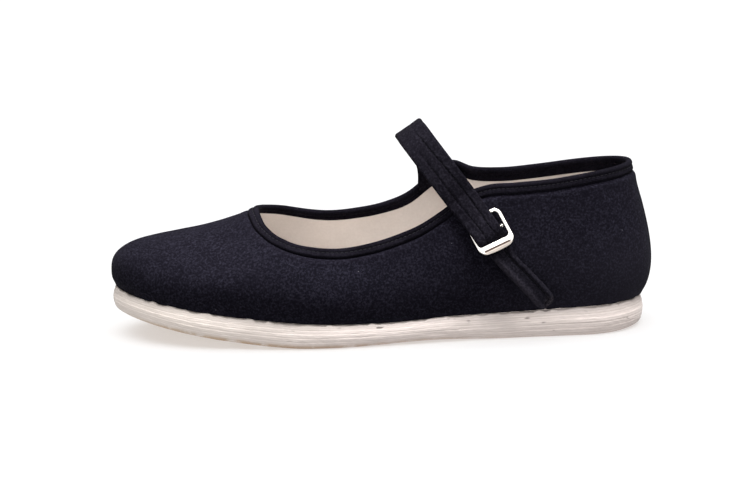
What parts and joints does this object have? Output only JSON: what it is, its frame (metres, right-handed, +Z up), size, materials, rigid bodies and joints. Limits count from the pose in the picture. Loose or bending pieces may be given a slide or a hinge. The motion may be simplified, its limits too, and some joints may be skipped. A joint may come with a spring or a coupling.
{
  "type": "cloth shoe",
  "caption": "Woman's low black cloth shoe for the left foot, with a bound topline, a buckled instep strap and a thick white layered cloth sole.",
  "frame": {"origin": "middle of the shoe's box, on the floor that the sole stands on", "axes": "+X from the toe to the heel, +Y towards the inner side of the foot, +Z up"},
  "size_m": [0.2508, 0.0872, 0.0989],
  "materials": {
    "black_cotton": "woven",
    "black_binding": "woven tape",
    "white_sole_cloth": "layered cloth",
    "insole_cloth": "woven",
    "strap_cotton": "woven",
    "buckle_steel": "polished",
    "tab_cotton": "woven"
  },
  "bodies": {
    "root": {"sole": "white_sole_cloth", "insole": "insole_cloth", "upper": "black_cotton", "topline_binding": "black_binding", "strap": "strap_cotton", "buckle": "buckle_steel", "buckle_tab": "tab_cotton"}
  },
  "joints": []
}
